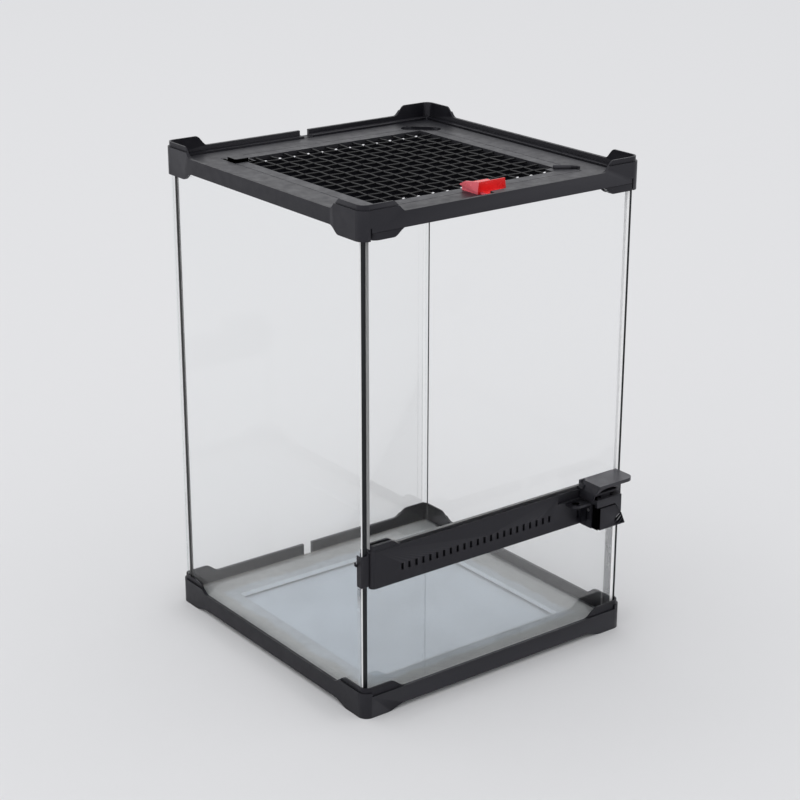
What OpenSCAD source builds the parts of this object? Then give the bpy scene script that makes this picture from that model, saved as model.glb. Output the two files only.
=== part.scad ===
// Small upright reptile terrarium: glass panes between two moulded frames,
// a hinged front door over a slotted vent rail, and a lift-out screen lid.
// The origin is under the middle of the feet, +Z is up and the door faces -Y.

/* [Overall] */
// Outside width of the frames
frame_w = 203; // [195:1:230]
// Outside depth of the frames
frame_d = 203; // [195:1:230]
// Height from the feet to the tops of the upper corner ears
total_h = 306; // [290:1:340]
// Radius of the frames' vertical corners
corner_r = 6; // [4:0.5:8]
// Wall of the frames outside the panes
wall_t = 2; // [1.6:0.1:2.4]

/* [Glass] */
// Thickness of every pane
glass_t = 4; // [3.5:0.1:4.4]
// Setback of the side panes' front edges from the frames' front
side_setback = 5; // [4.6:0.1:5.6]
// Setback of the door's outer face from the frames' front
door_setback = 3.5; // [3.3:0.1:4]
// Gap between the door and each side pane
door_gap = 1; // [0.8:0.1:1.4]
// Bond line of sealant between glued panes
bond_t = 0.4; // [0.3:0.1:0.6]
// Leg of the sealant fillets
fillet_leg = 2.2; // [0.8:0.1:2.4]

/* [Corner ears] */
// Flat length of an ear of the top frame
ear_flat = 21.5; // [18:0.5:24]
// Run of the curve from an ear of the top frame to its rail
ear_run = 8; // [6:0.5:10]
// Height of the stacking lip on the upper ears
lip_h = 3; // [2:0.5:4]
// Setback of the stacking lip
lip_setback = 1; // [0.6:0.1:1.2]

/* [Bottom frame] */
// Height of the feet under the bottom rails
foot_h = 3; // [2.4:0.1:4]
// Height of the bottom rails
base_rail_h = 10.6; // [9:0.2:13]
// Rise of the lower ears above the rails
base_ear_rise = 5.6; // [4:0.2:7]
// Flat length of a lower ear
base_ear_flat = 20; // [17:0.5:22]
// Run of the curve from a lower ear to its rail
base_ear_run = 10.7; // [8:0.5:12]
// Flat length of a foot
foot_flat = 17; // [14:0.5:20]
// Run of the curve from a foot to its rail
foot_run = 12.7; // [9:0.5:14]
// Width of the ledge that carries the floor pane
ledge_w = 29; // [20:1:36]
// Thickness of that ledge
ledge_t = 1.5; // [1.2:0.1:2]
// Height of the rib round the inner edge of the ledge
ledge_rib = 1.6; // [1:0.1:2.2]

/* [Top frame] */
// Height of the top rails
top_rail_h = 9.2; // [8:0.2:11]
// Rise of the upper ears above the rails
top_ear_rise = 6.3; // [4:0.1:8]
// Drop of the upper ears below the rails
top_ear_drop = 4.4; // [4.2:0.1:6]
// Depth of the deck below the top of the rails
deck_drop = 3.8; // [3.4:0.1:4.4]
// Thickness of the deck
deck_t = 2; // [1.6:0.1:2.2]
// Width of the raised strip along the inside of the walls
strip_w = 5; // [3:0.5:7]
// Height of that strip
strip_h = 1; // [0.6:0.1:1.4]
// Width of the cable notches at the back
notch_w = 6.8; // [5:0.1:9]

/* [Lid] */
// Width of the deck between the frame's edge and the lid
lid_margin = 25; // [24:0.5:32]
// Width of the lid's border
lid_border = 7.8; // [7:0.1:9]
// Thickness of the lid's frame
lid_t = 2.5; // [2.4:0.1:2.8]
// Gap round the lid
lid_gap = 0.4; // [0.3:0.1:0.6]
// Overlap of the seat under the lid's edge
seat_w = 5; // [3:0.5:6]
// Thickness of the seat
seat_t = 1.5; // [1:0.1:1.8]
// Pitch of the wires
wire_pitch = 10.4; // [9:0.1:11]
// Radius of a wire
wire_r = 0.8; // [0.6:0.1:0.9]
// Thickness of the lid's tab under its latch
tab_t = 1.5; // [1.2:0.1:1.8]
// Thickness of the fine screen under the mesh
screen_t = 0.5; // [0.3:0.1:0.7]

/* [Lid latch] */
// Width of the latch
latch_w = 20.8; // [18:0.2:23]
// Length of the latch over the lid's border
latch_grip = 6.2; // [5:0.1:7.2]
// Height of the latch's front
latch_h = 7.3; // [7:0.1:9.4]
// Clearance between the latched tongue and the front wall
latch_clear = 1.5; // [1:0.1:2.5]
// Travel of the latch
latch_travel = 5; // [4:0.5:5.5]
// Length of the tongue that goes under the keeper
tongue_l = 6.4; // [5.8:0.1:7]

/* [Vent rail] */
// Height of the underside of the vent rail
rail_z = 81; // [60:1:120]
// Height of the vent rail
rail_h = 23.3; // [21:0.1:28]
// Depth of the vent rail
rail_t = 8; // [7.4:0.1:9]
// Setback of its face from the frames' front
rail_setback = 1.5; // [1:0.1:1.9]
// Gap between the vent rail's ends and the side panes
rail_gap = 1.1; // [1:0.1:1.4]
// Vent slots
slot_count = 23; // [10:1:24]
// Pitch of the vent slots
slot_pitch = 5.07; // [4:0.01:5.3]
// Width of a vent slot
slot_w = 1.7; // [1:0.1:2.4]
// Height of a vent slot
slot_h = 4.2; // [3:0.1:5]
// Rounding of the rail's front corners
end_r = 3; // [2:0.1:3.5]
// Distance from the rail's left end to the first slot
slot_start = 20.8; // [19:0.1:22]

/* [Hinges] */
// Radius of the hinge barrels
barrel_r = 5; // [4.8:0.1:5.2]
// Radius of the hinge pins
pin_r = 2; // [1.5:0.1:2.5]
// Length of the upper hinge pin
pin_top_l = 3; // [2.4:0.1:3.2]
// Length of the lower hinge pin
pin_bottom_l = 6; // [4:0.5:8]
// Length of the hinge caps along the door
cap_l = 22.5; // [20:0.5:26]
// Rise of the lower hinge shoe above the vent rail
shoe_rise = 3.7; // [3:0.1:5]

/* [Handle and lock] */
// Width of the lock housing
lock_w = 19.8; // [18:0.2:22]
// Distance from the vent rail's right end to the housing's left side
lock_inset = 29.9; // [28:0.1:34]
// Reach of the lock housing in front of the vent rail
lock_reach = 15; // [14:0.2:17]
// Height of the lock housing
lock_h = 19.8; // [19:0.2:22]
// Thickness of the housing's walls
lock_wall = 1.8; // [1.5:0.1:2]
// Thickness of the lever's front plate
lever_plate_t = 2; // [1.6:0.1:2.6]
// Radius of the lever's pin
lever_pin_r = 1; // [0.8:0.1:1.2]
// Length of the handle's top plate
plate_l = 27.3; // [24:0.1:29]
// Thickness of the handle's top plate
plate_t = 2.2; // [1.8:0.1:2.8]
// Height of the handle
handle_h = 6.6; // [6:0.1:8]
// Gap between the housing's roof and the handle
handle_gap = 2.2; // [1.8:0.1:3]
// Radius of the padlock hole
padlock_r = 2.4; // [2:0.1:2.8]

/* [Fits] */
// Radial clearance of a pin in its bore
pin_clear = 0.05; // [0.03:0.01:0.08]
// Gap between pieces that move past each other
run_gap = 0.2; // [0.2:0.05:0.4]

/* [Hidden] */
$fn = 48;
eps = 0.01;
curve_steps = 8;
plastic = [0.14, 0.14, 0.15];
glass_tint = [0.75, 0.86, 0.88, 0.35];
sealant = [0.05, 0.05, 0.06];

// Places that follow from the sizes above
half_w = frame_w / 2;
half_d = frame_d / 2;
pane_x = half_w - wall_t;              // outer faces of the side panes
pane_y = half_d - wall_t;              // outer face of the back pane
in_x = pane_x - glass_t;               // inner faces of the side panes
side_front = -half_d + side_setback;   // front edges of the side panes
corner_wall = 0.3;                     // least wall of the frames behind a pane's corner
side_back = half_d - corner_r + sqrt(pow(corner_r - lip_setback - corner_wall, 2)
    - pow(corner_r - wall_t, 2));      // back edges of the side panes
base_top = foot_h + base_rail_h;
ledge_z = foot_h + ledge_t;            // top of the ledge
floor_z = ledge_z + glass_t;           // top of the floor pane
rail_top = total_h - top_ear_rise;     // top of the top rails
rail_bottom = rail_top - top_rail_h;
ear_bottom = rail_bottom - top_ear_drop;
deck_z = rail_top - deck_drop;
deck_under = deck_z - deck_t;
lid_x = half_w - lid_margin;           // half sizes of the lid
lid_y = half_d - lid_margin;
open_x = lid_x - lid_border;           // half sizes of its opening
open_y = lid_y - lid_border;
latch_reach = lid_margin - wall_t - tongue_l - latch_travel - latch_clear;
lid_under = deck_z - lid_t;
seat_z = lid_under - screen_t;
hinge_x = -(in_x - door_gap - barrel_r);
hinge_y = -half_d + barrel_r;
door_half = in_x - door_gap;
door_front = -half_d + door_setback;
door_back = door_front + glass_t;
vent_top = rail_z + rail_h;
rail_front = -half_d + rail_setback;
rail_back = rail_front + rail_t;
rail_half = in_x - rail_gap;
cap_top = rail_bottom - run_gap;       // top of the caps on the door
cap_web = 1;                           // plastic over the door's edges
door_top = cap_top - cap_web;
shoe_z = vent_top + run_gap;
door_bottom = shoe_z + cap_web;
cap_skin = 1.5;                        // plastic behind the door pane
slit_rise = 2.7;
lock_front = rail_front - lock_reach;
lock_x = rail_half - lock_inset;
lock_right = lock_x + lock_w;
lock_z = rail_z - 0.4;
lock_top = lock_z + lock_h;
handle_z = lock_top + handle_gap;      // underside of the handle's lip
handle_top = handle_z + handle_h;
lever_y = rail_front - 6.6;            // axis of the lever's pin
lever_z = lock_z + 11.4;
lever_top = lock_z + 14;
roof_z = lock_z + 16.4;                // underside of the housing's roof
lug_x = 8.4;                           // padlock hole left of the housing
lug_r = 4.2;
spring_r = 0.9;
spring_back = 3.1;                     // spring behind the lever's axis

// The lock stands out in front, so the whole is moved back to centre it over the origin
module centred() translate([0, (-lock_front - half_d) / 2, 0]) children();

// Plan of a frame: a rectangle with rounded corners
module round_rect(w, d, r) {
    square([w - 2 * r, d], center = true);
    square([w, d - 2 * r], center = true);
    for (x = [-1, 1], y = [-1, 1])
        translate([x * (w / 2 - r), y * (d / 2 - r)]) circle(r);
}

module ring(w, d, r, t) {
    difference() {
        round_rect(w, d, r);
        round_rect(w - 2 * t, d - 2 * t, max(r - t, 0.5));
    }
}

// Curve from an ear to its rail, from the ear's end inwards
function ear_curve(half, flat, run, z_ear, z_rail) =
    [for (i = [0:curve_steps]) let (t = i / curve_steps)
        [half - flat - run * t, z_ear + (z_rail - z_ear) * (1 - cos(180 * t)) / 2]];

function mirrored(points) = [for (i = [len(points) - 1:-1:0]) [-points[i][0], points[i][1]]];

function reversed(points) = [for (i = [len(points) - 1:-1:0]) points[i]];

// Side view of a frame: high ears at both ends of a low rail
module band(half, upper, lower) {
    outer = half + 1;
    top_edge = concat([[outer, upper[0][1]]], upper, mirrored(upper), [[-outer, upper[0][1]]]);
    low_edge = concat([[outer, lower[0][1]]], lower, mirrored(lower), [[-outer, lower[0][1]]]);
    polygon(concat(top_edge, reversed(low_edge)));
}

module along_y(w) rotate([90, 0, 0]) linear_extrude(w, center = true) children();

module along_x(w) rotate([90, 0, 90]) linear_extrude(w, center = true) children();

module slab(z0, z1) translate([0, 0, z0]) linear_extrude(z1 - z0) children();

module block(x, y, z) translate([x[0], y[0], z[0]]) cube([x[1] - x[0], y[1] - y[0], z[1] - z[0]]);

// Space that both side panes take, from height z0 to height z1
module side_panes(z0, z1) for (x = [-1, 1])
    block([min(x * pane_x, x * in_x), max(x * pane_x, x * in_x)], [side_front, side_back], [z0, z1]);

// ---------------------------------------------------------------- bottom frame

module base_band(half) {
    band(half,
        ear_curve(half, base_ear_flat, base_ear_run, base_top + base_ear_rise, base_top),
        ear_curve(half, foot_flat, foot_run, 0, foot_h));
}

module base_frame() color(plastic) centred() {
    lip_z = base_top + base_ear_rise - lip_h;
    rib_out = frame_d - 2 * ledge_w + 2 * wall_t;
    foot_in = foot_flat / 2 + wall_t;
    difference() {
        union() {
            intersection() {
                slab(0, base_top + base_ear_rise) ring(frame_w, frame_d, corner_r, wall_t);
                along_y(frame_d + 2) base_band(half_w);
                along_x(frame_w + 2) base_band(half_d);
            }
            slab(foot_h, ledge_z) difference() {
                round_rect(frame_w, frame_d, corner_r);
                square([frame_w - 2 * ledge_w, frame_d - 2 * ledge_w], center = true);
            }
            slab(foot_h - ledge_rib, ledge_z) difference() {
                square([rib_out - frame_d + frame_w, rib_out], center = true);
                square([frame_w - 2 * ledge_w, frame_d - 2 * ledge_w], center = true);
            }
        }
        // Lip set back round the tops of the ears
        slab(lip_z, total_h) ring(frame_w + 2, frame_d + 2, corner_r + 1, 1 + lip_setback);
        // Cable notch in the back wall
        block([-notch_w / 2, notch_w / 2], [half_d - wall_t - eps, half_d + 1], [ledge_z, base_top + 1]);
        // The vent rail's lower pane stands between the side panes, clear of the front ears
        block([-in_x, in_x], [-half_d - 1, side_front - glass_t], [base_top, total_h]);
        side_panes(ledge_z, total_h);
    }
    // Feet: solid pads under the ledge at the corners
    for (x = [-1, 1], y = [-1, 1]) translate([x * (half_w - foot_in), y * (half_d - foot_in), 0])
        slab(0, foot_h + eps) square(foot_flat - 2 * wall_t, center = true);
}

// ---------------------------------------------------------------- panes and sealant

module floor_glass() color(glass_tint) centred()
    block([-in_x + bond_t, in_x - bond_t],
        [side_front + glass_t + bond_t, pane_y - glass_t - bond_t], [ledge_z, floor_z]);

module side_pane(side) color(glass_tint) centred() mirror([side > 0 ? 1 : 0, 0, 0])
    block([-pane_x, -in_x], [side_front, side_back], [ledge_z, deck_under]);

module left_glass() side_pane(-1);

module right_glass() side_pane(1);

module back_glass() color(glass_tint) centred()
    block([-in_x + bond_t, in_x - bond_t], [pane_y - glass_t, pane_y], [ledge_z, deck_under]);

module lower_front_glass() color(glass_tint) centred()
    block([-in_x + bond_t, in_x - bond_t], [side_front, side_front + glass_t], [ledge_z, rail_z + 6]);

// Triangular fillet of sealant that fills an inner corner
module fillet(length) linear_extrude(length) polygon([[0, 0], [fillet_leg, 0], [0, fillet_leg]]);

// Sealant of an upright joint on the left: its bond line and its fillet
module back_joint() {
    block([-in_x, -in_x + bond_t], [pane_y - glass_t, pane_y], [ledge_z, deck_under]);
    translate([-in_x, pane_y - glass_t, floor_z]) rotate([0, 0, -90])
        fillet(rail_bottom - floor_z);
}

module front_joint() {
    block([-in_x, -in_x + bond_t], [side_front, side_front + glass_t], [ledge_z, rail_z]);
    translate([-in_x, side_front + glass_t, floor_z]) fillet(rail_z - floor_z - 1);
}

module seal_back_left() color(sealant) centred() back_joint();

module seal_back_right() color(sealant) centred() mirror([1, 0, 0]) back_joint();

module seal_front_left() color(sealant) centred() front_joint();

module seal_front_right() color(sealant) centred() mirror([1, 0, 0]) front_joint();

module floor_seal() color(sealant) centred() {
    front = side_front + glass_t;
    back = pane_y - glass_t;
    slab(ledge_z, floor_z) difference() {
        translate([0, (front + back) / 2]) square([2 * in_x, back - front], center = true);
        translate([0, (front + back) / 2])
            square([2 * (in_x - bond_t), back - front - 2 * bond_t], center = true);
    }
}

// ---------------------------------------------------------------- top frame

module top_band(half) {
    band(half,
        ear_curve(half, ear_flat, ear_run, total_h, rail_top),
        ear_curve(half, ear_flat, ear_run, ear_bottom, rail_bottom));
}

// Diagonal finger recess at the lid's back right corner
module corner_recess() {
    length = 26;
    width = 12;
    translate([lid_x - 3.6, lid_y - 3.6]) rotate(-45) {
        square([length - width, width], center = true);
        for (x = [-1, 1]) translate([x * (length - width) / 2, 0]) circle(width / 2);
    }
}

module top_frame() color(plastic) centred() {
    hole = [2 * (lid_x + lid_gap), 2 * (lid_y + lid_gap)];
    keeper_w = latch_w - 4;
    keeper_z = deck_z + 2.3;
    difference() {
        union() {
            intersection() {
                slab(ear_bottom, total_h) ring(frame_w, frame_d, corner_r, wall_t);
                along_y(frame_d + 2) top_band(half_w);
                along_x(frame_w + 2) top_band(half_d);
            }
            // Deck, and the raised strip along the walls
            slab(deck_under, deck_z) difference() {
                round_rect(frame_w, frame_d, corner_r);
                square(hole, center = true);
            }
            slab(deck_z - eps, deck_z + strip_h) difference() {
                ring(frame_w - 2 * wall_t + 0.2, frame_d - 2 * wall_t + 0.2, corner_r - wall_t, strip_w);
                translate([-latch_w / 2 - 2, -half_d]) square([latch_w + 4, 2 * strip_w]);
            }
            // Seat under the lid's edge
            slab(seat_z - seat_t, deck_z - eps) difference() {
                square(hole + [5, 5], center = true);
                square(hole, center = true);
            }
            slab(seat_z - seat_t, seat_z) difference() {
                square(hole + [2, 2], center = true);
                square(hole - [2 * seat_w, 2 * seat_w], center = true);
            }
            // Inner wall of the channel that takes the panes' upper edges
            slab(rail_bottom, deck_under + eps) difference() {
                square([2 * in_x - 0.4, 2 * (pane_y - glass_t) - 0.4], center = true);
                square([2 * in_x - 3.4, 2 * (pane_y - glass_t) - 3.4], center = true);
            }
            // Boss that carries the upper hinge pin
            translate([hinge_x, hinge_y, rail_bottom])
                cylinder(r = barrel_r, h = deck_under - rail_bottom + eps);
            // Keeper that the latch slides under
            block([-keeper_w / 2, keeper_w / 2], [-half_d + wall_t - 0.1, -half_d + wall_t + 4.2],
                [keeper_z, rail_top]);
        }
        // Lip set back round the tops of the ears
        slab(total_h - lip_h, total_h + 1) ring(frame_w + 2, frame_d + 2, corner_r + 1, 1 + lip_setback);
        // Groove beside the raised strip
        slab(deck_z - 0.6, deck_z + eps)
            ring(frame_w - 2 * wall_t - 2 * strip_w, frame_d - 2 * wall_t - 2 * strip_w, 1, 0.8);
        // Cable notch in the back wall
        block([-notch_w / 2, notch_w / 2], [half_d - wall_t - strip_w - 1, half_d + 1], [deck_z, total_h]);
        // Room in front for the door's two caps, and the slits beside them
        block([-door_half - door_gap, door_half + door_gap], [-half_d - 1, side_front + glass_t],
            [ear_bottom - 1, rail_bottom]);
        for (x = [-1, 1]) translate([x * (door_half + door_gap / 2), -half_d, rail_bottom])
            cube([door_gap, 2 * wall_t + 1, 2 * slit_rise], center = true);
        // Bore for the upper hinge pin
        translate([hinge_x, hinge_y, rail_bottom - 1]) cylinder(r = pin_r + pin_clear, h = pin_top_l + 1.2);
        side_panes(ear_bottom - 1, deck_under);
        // Corner recess, and the recess under the latch's tab
        slab(lid_under + 0.9, deck_z + 1) corner_recess();
        block([-latch_w / 2 + 0.6, latch_w / 2 - 0.6], [-lid_y - latch_reach - 0.8, -lid_y],
            [deck_z - tab_t - 0.2, deck_z + 1]);
        block([-5, 5], [-lid_y - latch_reach - 0.8, -lid_y], [seat_z, deck_z]);
    }
}

// ---------------------------------------------------------------- vent rail

module vent_rail() color(plastic) centred() difference() {
    union() {
        difference() {
            block([-rail_half, rail_half], [rail_front, rail_back], [rail_z, vent_top]);
            // Square front corners come off and round ones take their place
            for (x = [-1, 1]) translate([x * rail_half, rail_front, 0])
                cube([2 * end_r, 2 * end_r, 4 * total_h], center = true);
        }
        for (x = [-1, 1]) translate([x * (rail_half - end_r), rail_front + end_r, rail_z])
            cylinder(r = end_r, h = rail_h);
    }
    // Slot that takes the upper edge of the lower front pane
    block([-rail_half - 1, rail_half + 1], [side_front, side_front + glass_t], [rail_z - 1, rail_z + 6]);
    // Vent slots
    for (i = [0:slot_count - 1])
        translate([-rail_half + slot_start + i * slot_pitch, rail_front - 1, rail_z + 7])
            cube([slot_w, rail_t + 2, slot_h]);
    // Recesses in the face beside the lock
    block([lock_x - 19, lock_x - 0.8], [rail_front - 1, rail_front + 1.6], [vent_top - 6.4, vent_top - 1.2]);
    block([lock_x - 3.4, lock_x - 1.4], [rail_front - 1, rail_front + 1.4], [rail_z + 3.6, rail_z + 9.4]);
    // Hollow behind the upper part of the face
    block([-rail_half + 14, rail_half - 12], [rail_front + 2.4, rail_back + 1],
        [rail_z + 7 + slot_h + 1.5, vent_top - 2]);
    // Narrower top face
    block([-rail_half + 14, rail_half - 12], [rail_front + 5.4, rail_back + 1],
        [vent_top - 2 - eps, vent_top + 1]);
    // Bore for the lower hinge pin
    translate([hinge_x, hinge_y, vent_top - pin_bottom_l])
        cylinder(r = pin_r + pin_clear, h = pin_bottom_l + 1);
}

// Clip that holds an end of the vent rail to the front edge of a side pane
module rail_clip() {
    skin = 0.6;
    back = side_front + 3.6;
    z0 = rail_z + 1.5;
    z1 = rail_z + 22;
    hook_z = rail_z + 14;
    difference() {
        union() {
            block([-pane_x - skin, -rail_half], [side_front - 1, back], [z0, z1 - 1]);
            block([-in_x - 0.6, -rail_half], [side_front - 1, back], [z1 - 1 - eps, z1]);
            // Hook at the back of the outer flange
            block([-pane_x - skin - 1.2, -pane_x], [back - 1, back], [hook_z, hook_z + 1.6]);
            block([-pane_x - skin - 1.8, -pane_x - skin - 0.8], [back - 1, back],
                [hook_z + 0.6, hook_z + 3]);
        }
        block([-pane_x, -in_x], [side_front, back + 2], [z0 - 1, z1 + 1]);
        // The lower front pane passes behind the rail's end
        block([-in_x, in_x], [side_front, side_front + glass_t], [rail_z - 1, rail_z + 6 + eps]);
    }
}

module rail_clip_left() color(plastic) centred() rail_clip();

module rail_clip_right() color(plastic) centred() mirror([1, 0, 0]) rail_clip();

// ---------------------------------------------------------------- door

module door_glass() color(glass_tint) centred()
    block([-door_half, door_half], [door_front, door_back], [door_bottom, door_top]);

// Plan of a hinge cap: a barrel about the hinge axis and a straight grip on the pane
module cap_plan(front) {
    intersection() {
        union() {
            translate([hinge_x, hinge_y]) circle(barrel_r);
            translate([hinge_x, front]) square([cap_l - barrel_r, door_back + cap_skin - front]);
        }
        translate([hinge_x - 2 * barrel_r, front]) square([2 * cap_l, door_back + cap_skin - front]);
    }
}

module door_pane_space()
    block([-door_half - 1, door_half + 1], [door_front, door_back], [door_bottom, door_top]);

module hinge_cap_top() color(plastic) centred() {
    difference() {
        intersection() {
            slab(ear_bottom, cap_top) cap_plan(-half_d);
            along_y(frame_d + 2) top_band_filled();
        }
        door_pane_space();
    }
    translate([hinge_x, hinge_y, cap_top - eps]) cylinder(r = pin_r, h = pin_top_l + eps);
}

// Side view of everything above the lower edge of the top frame
module top_band_filled() {
    lower = ear_curve(half_w, ear_flat, ear_run, ear_bottom, rail_bottom);
    polygon(concat([[half_w + 1, ear_bottom]], lower, mirrored(lower),
        [[-half_w - 1, ear_bottom], [-half_w - 1, total_h], [half_w + 1, total_h]]));
}

module hinge_shoe_bottom() color(plastic) centred() {
    left = -door_half - 1;
    right = -door_half + cap_l - 2.5;
    high = vent_top + shoe_rise;
    slope = [for (i = [0:curve_steps]) let (t = i / curve_steps)
        [right - 6 * (1 - t), high + (shoe_z + 0.6 - high) * (1 - cos(180 * t)) / 2]];
    difference() {
        intersection() {
            slab(shoe_z, high) cap_plan(rail_front);
            along_y(frame_d + 2) polygon(concat([[left, shoe_z], [left, high]], slope, [[right, shoe_z]]));
        }
        door_pane_space();
    }
    translate([hinge_x, hinge_y, shoe_z - pin_bottom_l + run_gap])
        cylinder(r = pin_r, h = pin_bottom_l - run_gap + eps);
}

// Cap on the door's free upper corner, shaped like the ear beside it
module door_corner_cap() color(plastic) centred() difference() {
    intersection() {
        block([door_half - cap_l, door_half], [-half_d, door_back + cap_skin], [ear_bottom, cap_top]);
        along_y(frame_d + 2) top_band_filled();
    }
    door_pane_space();
}

// ---------------------------------------------------------------- handle and lock

module door_handle() color(plastic) centred() {
    plate_x1 = door_half;
    plate_x0 = plate_x1 - plate_l;
    plate_y0 = lock_front + 0.4;
    body_x1 = lock_right - 0.4;
    skirt_z = lock_top - 0.6;
    tip_r = 5;
    difference() {
        union() {
            // Top plate with a rounded free end
            slab(handle_top - plate_t, handle_top) {
                polygon([
                    [plate_x0 - 1, plate_y0], [plate_x1 - tip_r, plate_y0], [plate_x1, plate_y0 + tip_r],
                    [plate_x1, door_front], [plate_x1 - 3, door_front], [plate_x0 - 1, rail_front - 2.3]]);
                translate([plate_x1 - tip_r, plate_y0 + tip_r]) circle(tip_r);
            }
            // Body that leans back under the plate, down to the lip
            intersection() {
                block([plate_x0 - 1, body_x1], [plate_y0, rail_front + 1], [handle_z, handle_top - eps]);
                handle_side();
            }
            // Left side, which widens downwards past the lock housing
            intersection() {
                along_y(2 * frame_d) polygon([
                    [plate_x0 - 1, handle_top], [lock_x - run_gap - 1.5, skirt_z],
                    [lock_x - run_gap, skirt_z], [lock_x - run_gap, handle_z], [plate_x0 + 2, handle_z],
                    [plate_x0 + 2, handle_top]]);
                handle_side();
            }
            // Grip on the door's lower edge, with a ramp at its left end
            intersection() {
                block([plate_x0 - 4, door_half], [rail_front - 2, door_front + eps], [shoe_z, handle_top]);
                along_y(frame_d + 2) polygon([
                    [plate_x0 - 4, shoe_z], [plate_x0 - 4, shoe_z + 0.8], [plate_x0 + 0.6, handle_top],
                    [door_half, handle_top], [door_half, shoe_z]]);
            }
            // Low flange behind the pane
            block([plate_x0, door_half], [door_front, door_back + cap_skin], [shoe_z, door_bottom + 1.8]);
        }
        // Arched finger recess under the plate
        along_recess(plate_x0 - 0.6, body_x1 - 2, plate_y0);
        door_pane_space();
    }
}

// Side view of the handle in front of the rail
module handle_side() along_x(2 * frame_w) polygon([
    [lock_front + 0.4, handle_top], [rail_front - 0.3, handle_top],
    [rail_front - 0.3, lock_top - 0.6], [lock_front + 3, lock_top - 0.6],
    [lock_front + 2.4, handle_z], [lock_front + 0.9, handle_top - plate_t]]);

// Finger recess: a flat floor under a shallow arch
module along_recess(x0, x1, y0) {
    z0 = handle_z + 1.5;
    rise = handle_h - plate_t - 1.5 - 0.2;
    mid = (x0 + x1) / 2;
    run = (x1 - x0) / 2;
    translate([0, y0 - 1, 0]) rotate([90, 0, 0]) mirror([0, 0, 1]) linear_extrude(9)
        polygon([for (i = [0:curve_steps]) let (t = i / curve_steps)
            [mid - run + 2 * run * t, z0 + rise * pow(sin(180 * t), 0.5)]]);
}

module lock_housing() color(plastic) centred() {
    cheek_front = lock_front + lever_plate_t + 3.6;
    difference() {
        union() {
            // Roof with its front fascia
            block([lock_x, lock_right], [lock_front + 0.4, rail_front], [roof_z, lock_top]);
            along_front(lock_front + 0.4, 2) polygon([
                [lock_x, lock_top], [lock_right, lock_top], [lock_right + 0.1, lever_top - 5.8],
                [lock_right - 5.2, lever_top + 0.9], [lock_x, lever_top + 0.9]]);
            // Cheeks, back plate and floor
            for (x = [lock_x, lock_right - lock_wall])
                block([x, x + lock_wall], [cheek_front, rail_front], [lock_z, lock_top]);
            block([lock_x, lock_right], [rail_front - lock_wall, rail_front], [lock_z, lock_top]);
            block([lock_x, lock_right], [cheek_front, rail_front], [lock_z, lock_z + 1.4]);
            // Thin inner wall that closes the left side in front of the cheek
            block([lock_x + 1, lock_x + lock_wall], [lock_front + 1, cheek_front + eps],
                [lock_z, roof_z + eps]);
            // Padlock lug on the left
            lug();
        }
        // Recess in the left cheek
        block([lock_x - 1, lock_x + 1.2], [rail_front - 6.2, rail_front - 4.4],
            [lock_z + 4.6, lock_z + 10.4]);
        // Way for the lever's nose through the roof
        block([lock_x + 5, lock_right - 5], [lever_y - 6.1, lever_y - 1.6], [roof_z - 1, lock_top + 1]);
        // Pocket over the lever's spring, long enough for its swing
        translate([(lock_x + lock_right) / 2, lever_y + spring_back - 0.5, roof_z])
            cube([2 * spring_r + 0.4, 2 * spring_r + 1.4, 3], center = true);
        // Bore for the lever's pin
        translate([lock_x - 1, lever_y, lever_z]) rotate([0, 90, 0])
            cylinder(r = lever_pin_r + pin_clear, h = lock_w + 2);
        // Padlock hole
        translate([lock_x - lug_x, rail_front - 4.4, lock_z]) cylinder(r = padlock_r, h = lock_h);
    }
}

module along_front(y, t) translate([0, y + t, 0]) rotate([90, 0, 0]) linear_extrude(t) children();

module lug() slab(lock_z + 15.1, lock_z + 16.8) {
    translate([lock_x - lug_x, rail_front - 4.4]) circle(lug_r);
    translate([lock_x - lug_x, rail_front - 4.4 - lug_r]) square([lug_x + eps, lug_r + 4.4]);
    translate([lock_x - lug_x - lug_r, rail_front - 4.4]) square([lug_r + 1, 4.4]);
}

module lever_pin() color("silver") centred()
    translate([lock_x, lever_y, lever_z]) rotate([0, 90, 0]) cylinder(r = lever_pin_r, h = lock_w);

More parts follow.
